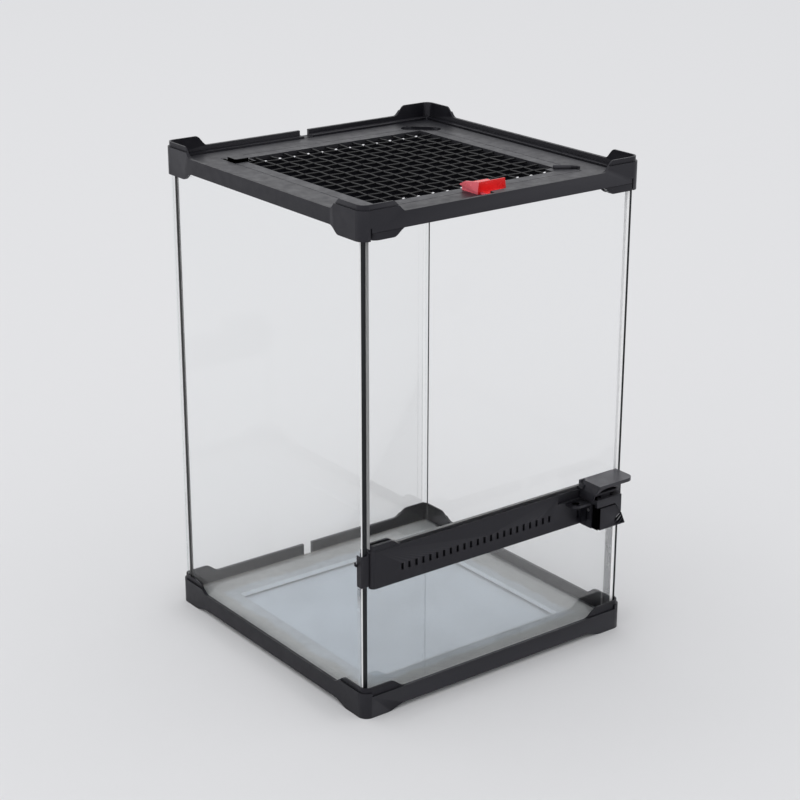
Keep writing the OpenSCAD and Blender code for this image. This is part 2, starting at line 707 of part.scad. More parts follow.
module lock_lever() color(plastic) centred() {
    x0 = lock_x + lock_wall + run_gap;
    x1 = lock_right - lock_wall - run_gap;
    plate_x0 = lock_x + 2.4;
    plate_back = lock_front + lever_plate_t;
    nose_y = lever_y - 4;
    difference() {
        union() {
            // Front plate, wider at its lower right end
            along_front(lock_front, lever_plate_t) polygon([
                [plate_x0, lock_z], [lock_right + 3.4, lock_z], [lock_right + 0.1, lever_top - 6.4],
                [lock_right - 5.2, lever_top], [plate_x0, lever_top]]);
            // Side walls that hide the works
            for (x = [x0 + 0.4, x1 - 1.4]) block([x, x + 1], [plate_back - 1, lever_y + 2.2],
                [lock_z + 2.4, lever_top - 0.4]);
            // Arm back to the barrel, nose towards the handle, tail under the spring
            block([x0 + 0.4, x1 - 0.4], [plate_back - eps, lever_y], [lever_z - 1.6, lever_top - 0.4]);
            translate([x0, lever_y, lever_z]) rotate([0, 90, 0]) cylinder(r = 2, h = x1 - x0);
            block([x0 + 4.2, x1 - 4.2], [nose_y, nose_y + 2], [lever_z, handle_z - run_gap]);
            block([x0 + 5, x1 - 5], [lever_y, lever_y + 4.2], [lever_z - 1.5, lever_z + 0.6]);
        }
        // Finger grip: a sunk corner that keeps three ribs
        difference() {
            along_front(lock_front - 1, 1.9) polygon([
                [lock_right - 5.4, lock_z + 0.9], [lock_right - 5.4, lock_z + 5],
                [lock_right - 0.6, lock_z + 8.2], [lock_right + 2, lock_z + 0.9]]);
            for (i = [0:2])
                translate([lock_right - 4.6 + i * 1.9, lock_front, lock_z + 6.6 - i * 2.3])
                    rotate([0, -42, 0]) cube([9, 4, 0.7], center = true);
        }
        // Room for the slanted end of the housing's fascia
        along_front(lock_front - 1, 4.2) polygon([
            [lock_right + 0.1, lever_top - 6.35], [lock_right + 0.1, lever_top + 1],
            [lock_right - 5.2, lever_top + 1], [lock_right - 5.2, lever_top + 0.05]]);
        translate([x0 - 1, lever_y, lever_z]) rotate([0, 90, 0])
            cylinder(r = lever_pin_r + pin_clear, h = x1 - x0 + 2);
    }
}

// Spring between the lever's tail and the housing, as a sleeve of its coil's size
module lever_spring() color("silver") centred() {
    length = roof_z + 0.5 - lever_z - 0.6;
    translate([(lock_x + lock_right) / 2, lever_y + spring_back, lever_z + 0.6]) difference() {
        cylinder(r = spring_r, h = length);
        translate([0, 0, -1]) cylinder(r = spring_r - 0.35, h = length + 2);
    }
}

// ---------------------------------------------------------------- lid

// Plan of the lid's frame, with a solid block at its back left corner
module lid_plan() {
    block_l = 16;
    difference() {
        square([2 * lid_x, 2 * lid_y], center = true);
        square([2 * open_x, 2 * open_y], center = true);
    }
    translate([-lid_x, lid_y - block_l - 0.5]) square([14, block_l + 0.5]);
}

module lid_frame() color(plastic) centred() {
    bar_r = 1.5;
    bar_l = 16;
    difference() {
        union() {
            slab(lid_under, deck_z) lid_plan();
            // Tab forward of the lid's edge, under the latch
            block([-latch_w / 2 + 1.2, latch_w / 2 - 1.2], [-lid_y - latch_reach, -lid_y + eps],
                [deck_z - tab_t, deck_z]);
            // Finger bar at the front right corner, tapered outwards
            translate([lid_x - 3.2, -lid_y + 9, deck_z + 0.7]) rotate([0, 90, -33]) {
                translate([0, 0, -bar_l / 2]) cylinder(r = bar_r, h = bar_l * 0.6);
                translate([0, 0, bar_l * 0.1 - eps]) cylinder(r1 = bar_r, r2 = 0.7, h = bar_l * 0.4);
            }
            // Gusset that carries the bar
            slab(lid_under, deck_z) translate([open_x - 7, -open_y - eps]) square([7 + eps, 7]);
        }
        // Cuts round the tongue at the back left corner
        slab(lid_under - 1, deck_z + 1) {
            translate([-lid_x - 1, lid_y - 16]) square([2.6, 15]);
            translate([-lid_x - 1, lid_y - 16]) square([13.5, 2.6]);
            translate([-lid_x + 11.4, lid_y - 16]) square([1.6, 9]);
        }
        slab(lid_under + 0.9, deck_z + 1) corner_recess();
        // Hollow end of the finger bar
        translate([lid_x - 3.2, -lid_y + 9, deck_z + 0.7]) rotate([0, 90, -33])
            translate([0, 0, -bar_l / 2 - 1]) cylinder(r = bar_r - 0.5, h = 4);
        // The bar stays clear of the deck
        slab(lid_under - 5, deck_z + 0.1) difference() {
            square([4 * lid_x, 4 * lid_y], center = true);
            square([2 * lid_x, 2 * lid_y + 4 * latch_reach], center = true);
        }
        // Slot for the latch's stem
        block([-2.6, 2.6], [-lid_y - latch_travel - 6.4, -lid_y - 0.4], [lid_under - 1, deck_z + 1]);
    }
}

module lid_mesh() color([0.1, 0.1, 0.1]) centred() intersection() {
    union() {
        wires(open_x) rotate([90, 22.5, 0]) cylinder(r = wire_r, h = 2 * lid_y, center = true, $fn = 8);
        translate([0, 0, 0.6]) rotate(90) wires(open_y) rotate([90, 22.5, 0])
            cylinder(r = wire_r, h = 2 * lid_x, center = true, $fn = 8);
    }
    slab(lid_under, deck_z) difference() {
        square([2 * open_x, 2 * open_y], center = true);
        lid_plan();
        corner_recess();
        translate([open_x - 7, -open_y - 1]) square([8, 8]);
    }
}

// Places of the wires that run along Y, across an opening of this half size
module wires(half) {
    count = floor(2 * half / wire_pitch) - 1;
    for (i = [0:count - 1])
        translate([(i - (count - 1) / 2) * wire_pitch, 0, lid_under + 0.3 + wire_r]) children();
}

module lid_screen() color([0.08, 0.08, 0.08]) centred() slab(seat_z, lid_under)
    square([2 * lid_x - 1, 2 * lid_y - 1], center = true);

module lid_latch() color([0.8, 0.13, 0.13]) centred() {
    front = -lid_y - latch_reach;
    back = -lid_y + latch_grip;
    under = deck_z + 0.05;
    top = deck_z + latch_h;
    lean = 8;
    difference() {
        union() {
            // Thumb piece: high in front, falling to a thin back edge over a slanted underside
            along_x(latch_w) polygon([
                [front, under + 1.1], [front, top], [back - 4.2, top - 1.6],
                [back, under + 3.4], [back, under + 2.8]]);
            // Slightly narrower base
            along_x(latch_w - 1.4) polygon([
                [front + 0.5, under], [back - 1.5, under], [back - 1.5, under + 3], [front + 0.5, under + 2]]);
        }
        // Top dished behind the front edge, with a cheek left standing at the left end
        translate([1.8, 0, 0]) along_x(latch_w - 0.4) polygon([
            [front + 1, top + 1], [front + 1, top - 0.4], [back - 5, under + 3.2],
            [back + 1, under + 3.4], [back + 1, top + 1]]);
        // Both sides lean inwards
        for (x = [-1, 1]) translate([x * latch_w / 2, 0, under + 1.1]) rotate([0, -x * lean, 0])
            translate([x * latch_w, 0, latch_h]) cube([2 * latch_w, 2 * frame_d, 2 * latch_h], center = true);
    }
    // Tongue in front, and the stem that runs in the lid's slot
    block([-latch_w / 2 + 2.4, latch_w / 2 - 2.4], [front - tongue_l, front + 1], [under, under + 1.5]);
    block([-2.3, 2.3], [-lid_y - 5.7, -lid_y - 0.7], [deck_z - tab_t - 0.5, under + eps]);
    // Foot that holds the stem under the tab
    block([-4, 4], [-lid_y - 5.2, -lid_y - 1.2],
        [deck_z - tab_t - 1.2, deck_z - tab_t - 0.15]);
}

base_frame();
floor_glass();
floor_seal();
back_glass();
left_glass();
right_glass();
lower_front_glass();
seal_back_left();
seal_back_right();
seal_front_left();
seal_front_right();
top_frame();
vent_rail();
rail_clip_left();
rail_clip_right();
lock_housing();
lever_pin();
lever_spring();
door_glass();
hinge_cap_top();
hinge_shoe_bottom();
door_corner_cap();
door_handle();
lock_lever();
lid_frame();
lid_mesh();
lid_screen();
lid_latch();
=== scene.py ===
"""Small upright reptile terrarium on a pale floor, seen from its hinge side."""

import math

import bmesh
import bpy
from mathutils import Matrix, Vector


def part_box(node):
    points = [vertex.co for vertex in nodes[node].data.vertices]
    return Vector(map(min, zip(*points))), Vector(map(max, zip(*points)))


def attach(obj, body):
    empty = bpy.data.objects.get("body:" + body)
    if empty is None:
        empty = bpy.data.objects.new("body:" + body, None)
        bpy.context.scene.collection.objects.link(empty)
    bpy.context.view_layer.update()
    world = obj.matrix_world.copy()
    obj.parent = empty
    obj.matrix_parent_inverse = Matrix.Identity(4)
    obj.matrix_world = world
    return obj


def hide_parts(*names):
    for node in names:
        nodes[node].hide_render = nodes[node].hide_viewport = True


MM = 0.001
UP = Vector((0, 0, 1))

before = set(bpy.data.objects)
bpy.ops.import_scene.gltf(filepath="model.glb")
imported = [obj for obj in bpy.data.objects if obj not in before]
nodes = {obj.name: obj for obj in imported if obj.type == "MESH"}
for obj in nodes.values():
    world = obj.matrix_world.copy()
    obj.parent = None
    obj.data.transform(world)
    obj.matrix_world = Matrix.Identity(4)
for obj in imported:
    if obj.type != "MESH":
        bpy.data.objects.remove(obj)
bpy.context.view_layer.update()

# ---------------------------------------------------------------- camera

CAMERA_AZIMUTH = math.radians(-37.17)
CAMERA_ELEVATION = math.radians(20.02)
CAMERA_ROLL = math.radians(0.094)
CAMERA_DISTANCE = 1198.2 * MM
CAMERA_AIM_RIGHT = 0.84 * MM
CAMERA_AIM_HEIGHT = 146.4 * MM
CAMERA_NEAREST, CAMERA_FARTHEST = 0.05, 100
LENS_MM = 86.54
SENSOR_MM = 36.0


def add_camera():
    """Camera at the photograph's angle, aimed at the tank's axis."""
    top_low, top_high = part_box("top_frame")
    tank_axis = Vector(((top_low.x + top_high.x) / 2, (top_low.y + top_high.y) / 2, 0))
    back = Vector((
        math.sin(CAMERA_AZIMUTH) * math.cos(CAMERA_ELEVATION),
        -math.cos(CAMERA_AZIMUTH) * math.cos(CAMERA_ELEVATION),
        math.sin(CAMERA_ELEVATION),
    ))
    right = Vector((math.cos(CAMERA_AZIMUTH), math.sin(CAMERA_AZIMUTH), 0))
    up = back.cross(right)
    aim = tank_axis + right * CAMERA_AIM_RIGHT + UP * CAMERA_AIM_HEIGHT
    rolled_right = right * math.cos(CAMERA_ROLL) + up * math.sin(CAMERA_ROLL)
    rolled_up = up * math.cos(CAMERA_ROLL) - right * math.sin(CAMERA_ROLL)
    place = aim + back * CAMERA_DISTANCE
    data = bpy.data.cameras.new("camera")
    data.lens = LENS_MM
    data.sensor_width = SENSOR_MM
    data.clip_start = CAMERA_NEAREST
    data.clip_end = CAMERA_FARTHEST
    camera = bpy.data.objects.new("camera", data)
    bpy.context.scene.collection.objects.link(camera)
    camera.matrix_world = Matrix((
        (rolled_right.x, rolled_up.x, back.x, place.x),
        (rolled_right.y, rolled_up.y, back.y, place.y),
        (rolled_right.z, rolled_up.z, back.z, place.z),
        (0, 0, 0, 1),
    ))
    bpy.context.scene.camera = camera


# ---------------------------------------------------------------- node helpers


def new_material(name):
    """An empty node material with its output, and a function that adds nodes to it."""
    material = bpy.data.materials.new(name)
    material.use_nodes = True
    tree = material.node_tree
    tree.nodes.clear()
    output = tree.nodes.new("ShaderNodeOutputMaterial")

    def add(kind, **values):
        """A node with some settings or inputs filled in; an underscore stands for a space."""
        node = tree.nodes.new(kind)
        for key, value in values.items():
            if hasattr(node, key):
                setattr(node, key, value)
            else:
                node.inputs[key.replace("_", " ")].default_value = value
        return node

    return material, tree.links, output, add


def grey(level):
    """Opaque grey."""
    return (level, level, level, 1)


def noise(add, links, scale, detail):
    """Noise in the object's own coordinates, with features of about 1 / scale metres."""
    place = add("ShaderNodeTexCoord")
    texture = add("ShaderNodeTexNoise", Scale=scale, Detail=detail, Roughness=0.6)
    links.new(place.outputs["Object"], texture.inputs["Vector"])
    return texture.outputs["Fac"]


def ramp(add, links, source, low, high, start=0.35, end=0.65):
    """Colour that follows a value, from one colour at start to another at end."""
    node = add("ShaderNodeValToRGB")
    for stop, place, colour in zip(node.color_ramp.elements, (start, end), (low, high)):
        stop.position = place
        stop.color = colour if len(colour) == 4 else (*colour, 1)
    links.new(source, node.inputs["Fac"])
    return node.outputs["Color"]


def calculate(add, links, operation, *terms):
    """Result of a calculation on numbers and values of other nodes."""
    node = add("ShaderNodeMath", operation=operation)
    for term, entry in zip(terms, node.inputs):
        if isinstance(term, (int, float)):
            entry.default_value = term
        else:
            links.new(term, entry)
    return node.outputs["Value"]


def position(add, links):
    """The shaded point's X, Y and Z."""
    place = add("ShaderNodeNewGeometry")
    axes = add("ShaderNodeSeparateXYZ")
    links.new(place.outputs["Position"], axes.inputs["Vector"])
    return axes.outputs


def between(add, links, axis, start, end):
    """One between two places along an axis, and nought outside them."""
    place = position(add, links)[axis]
    after = calculate(add, links, "GREATER_THAN", place, start)
    before = calculate(add, links, "LESS_THAN", place, end)
    return calculate(add, links, "MULTIPLY", after, before)


def mix_shaders(add, links, share, first, second):
    """The first shader, with a share of the second one over it."""
    mix = add("ShaderNodeMixShader")
    if isinstance(share, float):
        mix.inputs["Fac"].default_value = share
    else:
        links.new(share, mix.inputs["Fac"])
    links.new(first, mix.inputs[1])
    links.new(second, mix.inputs[2])
    return mix.outputs["Shader"]


def roughen(add, links, shader, texture, low, high):
    """Makes a shader's roughness follow a texture between two levels."""
    gloss = ramp(add, links, texture, grey(low), grey(high))
    links.new(gloss, shader.inputs["Roughness"])


def emboss(add, links, shader, texture, strength, depth):
    """Makes a shader's bump follow a texture."""
    bump = add("ShaderNodeBump", Strength=strength, Distance=depth)
    links.new(texture, bump.inputs["Height"])
    links.new(bump.outputs["Normal"], shader.inputs["Normal"])


# ---------------------------------------------------------------- materials

GLASS_IOR = 1.5
LEDGE_WIDTH = 29 * MM


def moulded_plastic(name, base, worn, roughness, specular, grain=0.12):
    """Satin moulded plastic: fine spark-eroded grain, faint flow shading, paler worn edges."""
    material, links, output, add = new_material(name)
    shader = add("ShaderNodeBsdfPrincipled", Specular_IOR_Level=specular,
                 Specular_Tint=(0.93, 0.91, 1.0, 1))
    flow = noise(add, links, scale=45.0, detail=3.0)
    shade = ramp(add, links, flow, base, [level * 1.18 for level in base])
    edges = add("ShaderNodeNewGeometry")
    wear = ramp(add, links, edges.outputs["Pointiness"], grey(0), grey(1), start=0.52, end=0.62)
    mix = add("ShaderNodeMix", data_type="RGBA")
    links.new(wear, mix.inputs["Factor"])
    links.new(shade, mix.inputs["A"])
    mix.inputs["B"].default_value = (*worn, 1)
    links.new(mix.outputs["Result"], shader.inputs["Base Color"])
    handling = noise(add, links, scale=160.0, detail=5.0)
    roughen(add, links, shader, handling, roughness - 0.05, roughness + 0.07)
    eroded = noise(add, links, scale=5200.0, detail=2.0)
    emboss(add, links, shader, eroded, grain, 0.05 * MM)
    links.new(shader.outputs["BSDF"], output.inputs["Surface"])
    return material


def clear_glass(name, tint, clouds=0.0):
    """Float glass: it bends and mirrors what is seen through it, and lets soft light past."""
    material, links, output, add = new_material(name)
    pane = add("ShaderNodeBsdfPrincipled", Transmission_Weight=1.0, IOR=GLASS_IOR,
               Specular_Tint=grey(0.1))
    haze = noise(add, links, scale=26.0, detail=2.0)
    colour = ramp(add, links, haze, [level * (1 - clouds) for level in tint], tint)
    links.new(colour, pane.inputs["Base Color"])
    smears = noise(add, links, scale=14.0, detail=4.0)
    roughen(add, links, pane, smears, 0.0, 0.012)
    clear = add("ShaderNodeBsdfTransparent")
    links.new(colour, clear.inputs["Color"])
    rays = add("ShaderNodeLightPath")
    soft = calculate(add, links, "MAXIMUM",
                     rays.outputs["Is Shadow Ray"], rays.outputs["Is Diffuse Ray"])
    surface = mix_shaders(add, links, soft, pane.outputs["BSDF"], clear.outputs["BSDF"])
    links.new(surface, output.inputs["Surface"])
    return material


def thin_glass(name, tint):
    """Glass of a pane whose edges are hidden: it mirrors faintly and doesn't bend the view."""
    material, links, output, add = new_material(name)
    clear = add("ShaderNodeBsdfTransparent", Color=(*tint, 1))
    mirror = add("ShaderNodeBsdfAnisotropic")
    smears = noise(add, links, scale=14.0, detail=4.0)
    roughen(add, links, mirror, smears, 0.01, 0.05)
    fresnel = add("ShaderNodeFresnel", IOR=GLASS_IOR)
    weak = calculate(add, links, "MULTIPLY", fresnel.outputs["Fac"], 0.25)
    surface = mix_shaders(add, links, weak, clear.outputs["BSDF"], mirror.outputs["BSDF"])
    links.new(surface, output.inputs["Surface"])
    return material


def ledge_film(name, base, edge, painted_glow=0.0):
    """Frosted film over the ledge: streaky, and paler and cloudy towards its inner edge. It can
    carry a painted glow that stands in for light.
    """
    material, links, output, add = new_material(name)
    shader = add("ShaderNodeBsdfPrincipled", Roughness=0.5,
                 Emission_Color=(0.93, 0.96, 1.0, 1), Emission_Strength=painted_glow)
    low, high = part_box("base_frame")
    middle = (low + high) / 2
    place = position(add, links)
    distances = []
    for axis, centre, half in (("X", middle.x, high.x - middle.x),
                               ("Y", middle.y, high.y - middle.y)):
        from_centre = calculate(add, links, "SUBTRACT", place[axis], centre)
        size = calculate(add, links, "ABSOLUTE", from_centre)
        distances.append(calculate(add, links, "SUBTRACT", half, size))
    nearest = calculate(add, links, "MINIMUM", *distances)
    cloud = noise(add, links, scale=60.0, detail=3.0)
    waver = calculate(add, links, "MULTIPLY_ADD", cloud, 0.4 * LEDGE_WIDTH, nearest)
    share = calculate(add, links, "DIVIDE", waver, LEDGE_WIDTH)
    fade = ramp(add, links, share, base, edge, start=0.86, end=1.2)
    streaks = noise(add, links, scale=220.0, detail=4.0)
    shade = ramp(add, links, streaks, grey(0.9), grey(1.0))
    mix = add("ShaderNodeMix", data_type="RGBA", blend_type="MULTIPLY")
    mix.inputs["Factor"].default_value = 1.0
    links.new(fade, mix.inputs["A"])
    links.new(shade, mix.inputs["B"])
    links.new(mix.outputs["Result"], shader.inputs["Base Color"])
    emboss(add, links, shader, streaks, 0.2, 0.1 * MM)
    links.new(shader.outputs["BSDF"], output.inputs["Surface"])
    return material


def silicone(name, base, clearness, specular=0.5):
    """Smooth sealant with a slightly uneven tooled surface, dark or nearly clear."""
    material, links, output, add = new_material(name)
    shader = add("ShaderNodeBsdfPrincipled", Base_Color=(*base, 1), Specular_IOR_Level=specular)
    tooling = noise(add, links, scale=120.0, detail=3.0)
    roughen(add, links, shader, tooling, 0.3, 0.45)
    emboss(add, links, shader, tooling, 0.25, 0.2 * MM)
    through = add("ShaderNodeBsdfTransparent")
    surface = mix_shaders(add, links, clearness, shader.outputs["BSDF"], through.outputs["BSDF"])
    links.new(surface, output.inputs["Surface"])
    return material


def lined_sealant(name, start, end, level, clearness=0.97):
    """Clear sealant with a dark line between two places along Y."""
    material, links, output, add = new_material(name)
    dark = add("ShaderNodeBsdfPrincipled", Base_Color=grey(level))
    tooling = noise(add, links, scale=120.0, detail=3.0)
    roughen(add, links, dark, tooling, 0.3, 0.45)
    clear = add("ShaderNodeBsdfTransparent")
    film = mix_shaders(add, links, clearness, dark.outputs["BSDF"], clear.outputs["BSDF"])
    line = between(add, links, "Y", start, end)
    surface = mix_shaders(add, links, line, film, dark.outputs["BSDF"])
    links.new(surface, output.inputs["Surface"])
    return material


def coated_wire(name, base, specular):
    """Black coated steel wire."""
    material, links, output, add = new_material(name)
    shader = add("ShaderNodeBsdfPrincipled", Base_Color=(*base, 1), Specular_IOR_Level=specular)
    coat = noise(add, links, scale=900.0, detail=3.0)
    roughen(add, links, shader, coat, 0.28, 0.42)
    emboss(add, links, shader, coat, 0.2, 0.05 * MM)
    links.new(shader.outputs["BSDF"], output.inputs["Surface"])
    return material


def steel(name, level):
    """Plain drawn steel."""
    material, links, output, add = new_material(name)
    shader = add("ShaderNodeBsdfPrincipled", Base_Color=(level, level, level * 1.02, 1),
                 Metallic=1.0)
    drawn = noise(add, links, scale=1500.0, detail=3.0)
    roughen(add, links, shader, drawn, 0.25, 0.4)
    links.new(shader.outputs["BSDF"], output.inputs["Surface"])
    return material


def ground_rim(name, level, start=0.0, end=0.0):
    """Matt ground edge of a pane, with a line of black sealant between two places along X."""
    material, links, output, add = new_material(name)
    rim = add("ShaderNodeBsdfPrincipled", Specular_IOR_Level=0.3, Roughness=0.5)
    ground = noise(add, links, scale=700.0, detail=3.0)
    shade = ramp(add, links, ground, grey(level * 0.94), grey(level))
    mix = add("ShaderNodeMix", data_type="RGBA")
    links.new(between(add, links, "X", start, end), mix.inputs["Factor"])
    links.new(shade, mix.inputs["A"])
    mix.inputs["B"].default_value = (0.005, 0.006, 0.008, 1)
    links.new(mix.outputs["Result"], rim.inputs["Base Color"])
    emboss(add, links, rim, ground, 0.15, 0.05 * MM)
    links.new(rim.outputs["BSDF"], output.inputs["Surface"])
    return material


def clear_rim(name):
    """Polished edge of a pane, seen only through the pane itself."""
    material, links, output, add = new_material(name)
    edge = add("ShaderNodeBsdfTransparent")
    smears = noise(add, links, scale=300.0, detail=3.0)
    shade = ramp(add, links, smears, (0.95, 0.965, 0.965), (0.98, 0.99, 0.99))
    links.new(shade, edge.inputs["Color"])
    links.new(edge.outputs["BSDF"], output.inputs["Surface"])
    return material


BLACK = moulded_plastic("black_plastic", (0.0060, 0.0060, 0.0082), (0.03, 0.03, 0.034), 0.36, 0.28)
DECK = moulded_plastic("deck_plastic", (0.0062, 0.0062, 0.0086), (0.03, 0.03, 0.034), 0.40, 0.32)
GRIP = moulded_plastic("grip_plastic", (0.0100, 0.0100, 0.0125), (0.04, 0.04, 0.044), 0.36, 0.42)
# A paler copy of the grip plastic for the handle's top faces
PALE_TOP_GRIP = moulded_plastic(
    "pale_top_grip_plastic", (0.042, 0.042, 0.048), (0.06, 0.06, 0.064), 0.33, 0.6)
# Painted glints: pale plastic for thin strips that stand in for light caught on the lever's grip
# edges
PAINTED_GLINT = moulded_plastic(
    "painted_glint_plastic", (0.16, 0.16, 0.165), (0.3, 0.3, 0.3), 0.25, 0.6)
RED = moulded_plastic(
    "red_plastic", (0.74, 0.012, 0.012), (0.9, 0.10, 0.10), 0.24, 0.7, grain=0.05)
# Painted highlight: a lighter red for the latch's left side, standing in for the light falling on
# it
PAINTED_HIGHLIGHT_RED = moulded_plastic(
    "red_plastic_painted_highlight", (0.95, 0.14, 0.19), (0.9, 0.2, 0.2), 0.24, 0.9, grain=0.05)
GLASS = clear_glass("pane_glass", (0.997, 0.999, 0.999))
THIN_GLASS = thin_glass("thin_pane_glass", (0.995, 0.998, 0.998))
FLOOR_GLASS = clear_glass("floor_pane_glass", (0.850, 0.886, 0.918), clouds=0.06)
# Painted shade: a black with no reflection at all, put on hollows, gaps and upright sides that
# stand in shade
PAINTED_SHADE = silicone("painted_shade_black", (0.001, 0.001, 0.001), clearness=0.0, specular=0.0)
CLEAR_SEALANT = silicone("clear_sealant", (0.2, 0.2, 0.21), clearness=0.97)
FLOOR_SEALANT = silicone("floor_sealant", (0.12, 0.12, 0.13), clearness=0.85)
LEDGE_FILM = ledge_film("ledge_film", (0.60, 0.555, 0.505), (0.68, 0.67, 0.66))
# The ledge's lip: the film's pale colour, with a painted glow that lifts it out of its shade
GLOWING_LEDGE_LIP = ledge_film("ledge_lip", (0.72, 0.72, 0.72), (0.72, 0.72, 0.72), painted_glow=0.11)
WIRE = coated_wire("mesh_wire", (0.006, 0.006, 0.007), 0.33)
SCREEN = coated_wire("fine_screen", (0.006, 0.006, 0.0075), 0.0)
BARE_END = steel("bare_wire_end", 0.85)
STEEL = steel("pin_steel", 0.42)

RIM = ground_rim("ground_rim", 0.92)
CLEAR_RIM = clear_rim("clear_rim")
LEFT_RIM = ground_rim("left_front_rim", 0.88, -98.6 * MM, -94.7 * MM)
RIGHT_RIM = ground_rim("right_front_rim", 0.95, 97.8 * MM, 99.9 * MM)
DOOR_SILL = ground_rim("door_sill_rim", 0.2)
DOOR_HINGE_RIM = ground_rim("door_hinge_rim", 0.3)

BACK_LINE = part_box("back_glass")[0].y
SEAL_REACH = 3 * MM
LEFT_BACK_SEAL = lined_sealant(
    "back_left_sealant", BACK_LINE - SEAL_REACH, BACK_LINE + 0.6 * MM, 0.003)
RIGHT_BACK_SEAL = lined_sealant(
    "back_right_sealant", BACK_LINE - SEAL_REACH, BACK_LINE - 1.6 * MM, 0.05, clearness=1.0)

MATERIAL_OF = {
    "base_frame": BLACK, "top_frame": DECK, "vent_rail": BLACK,
    "rail_clip_left": BLACK, "rail_clip_right": BLACK, "lock_housing": BLACK,
    "lock_lever": BLACK, "hinge_cap_top": BLACK, "hinge_shoe_bottom": BLACK,
    "door_corner_cap": BLACK, "door_handle": GRIP, "lid_frame": DECK,
    "lid_mesh": WIRE, "lid_screen": SCREEN, "lid_latch": RED,
    "lever_pin": STEEL, "lever_spring": STEEL,
    "floor_glass": FLOOR_GLASS, "back_glass": THIN_GLASS, "left_glass": GLASS,
    "right_glass": GLASS, "lower_front_glass": THIN_GLASS, "door_glass": GLASS,
    "floor_seal": FLOOR_SEALANT, "seal_back_left": LEFT_BACK_SEAL,
    "seal_back_right": RIGHT_BACK_SEAL, "seal_front_left": CLEAR_SEALANT,
    "seal_front_right": CLEAR_SEALANT,
}

# ---------------------------------------------------------------- carried-over nodes

MOULDINGS = (BLACK, DECK, GRIP, RED)
WELD_DISTANCE = 0.002 * MM
SOFT_EDGE = 0.35 * MM
SOFT_EDGE_OF = {"hinge_cap_top": 0.12 * MM, "door_corner_cap": 0.12 * MM, "top_frame": 0.2 * MM}
SHARPEST_KEPT = math.radians(35)

# How nearly a face's normal has to lie along an axis to count as facing that way
FACING = 0.5
SQUARELY_FACING = 0.9

LUG_RADIUS = 4.2 * MM
LUG_REACH = 4.4 * MM
PADLOCK_RADIUS = 2.4 * MM
# From the pin's left end to the middle of the housing's inner wall
PIN_TO_WALL = 1.2 * MM
# The part of the lid round the tongue at its back left corner
TONGUE_WIDTH = 14 * MM
TONGUE_DEPTH = 17 * MM


def soften(piece, width):
    """Rounds a piece's sharp edges."""
    bevel = piece.modifiers.new("soft_edges", "BEVEL")
    bevel.width = width
    bevel.segments = 2
    bevel.limit_method = "ANGLE"
    bevel.angle_limit = SHARPEST_KEPT
    return bevel


def paint_faces(name, material, wanted):
    """Gives the faces of a carried-over node that a test picks a material of their own."""
    mesh = nodes[name].data
    mesh.materials.append(material)
    for face in mesh.polygons:
        if wanted(face):
            face.material_index = len(mesh.materials) - 1


def is_ledge(face):
    """The ledge's upper face under the floor pane."""
    drop = face.center.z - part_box("floor_glass")[0].z
    return face.normal.z > SQUARELY_FACING and abs(drop) < 0.3 * MM


def is_ledge_lip(face):
    """The edge of the ledge's opening."""
    low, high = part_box("base_frame")
    reach = LEDGE_WIDTH - 1 * MM
    return (abs(face.normal.z) < SQUARELY_FACING
            and low.x + reach < face.center.x < high.x - reach
            and low.y + reach < face.center.y < high.y - reach)


def is_lock_hollow(face):
    """The lock housing's inner wall and the padlock hole, which get painted shade."""
    low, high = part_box("lock_housing")
    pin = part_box("lever_pin")[0]
    inner_wall = (abs(face.center.x - pin.x - PIN_TO_WALL) < 0.5 * MM
                  and face.center.y < pin.y + 1 * MM)
    hole = Vector((low.x + LUG_RADIUS, high.y - LUG_REACH, face.center.z))
    in_hole = (face.center - hole).length < PADLOCK_RADIUS + 0.05 * MM
    return inner_wall or (abs(face.normal.z) < FACING and in_hole)


def is_lid_cut(face):
    """Walls of the cuts round the tongue at the lid's back left corner, which get painted shade.
    """
    low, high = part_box("lid_frame")
    near = (face.center.x < low.x + TONGUE_WIDTH
            and face.center.y > high.y - TONGUE_DEPTH)
    return near and abs(face.normal.z) < 0.3


def dress_nodes():
    """Gives every carried-over node its material, and the mouldings soft edges."""
    for name, node in nodes.items():
        node.data.materials.clear()
        node.data.materials.append(MATERIAL_OF[name])
        if MATERIAL_OF[name] in MOULDINGS:
            weld = node.modifiers.new("weld", "WELD")
            weld.merge_threshold = WELD_DISTANCE
            bevel = soften(node, SOFT_EDGE_OF.get(name, SOFT_EDGE))
            bevel.harden_normals = True


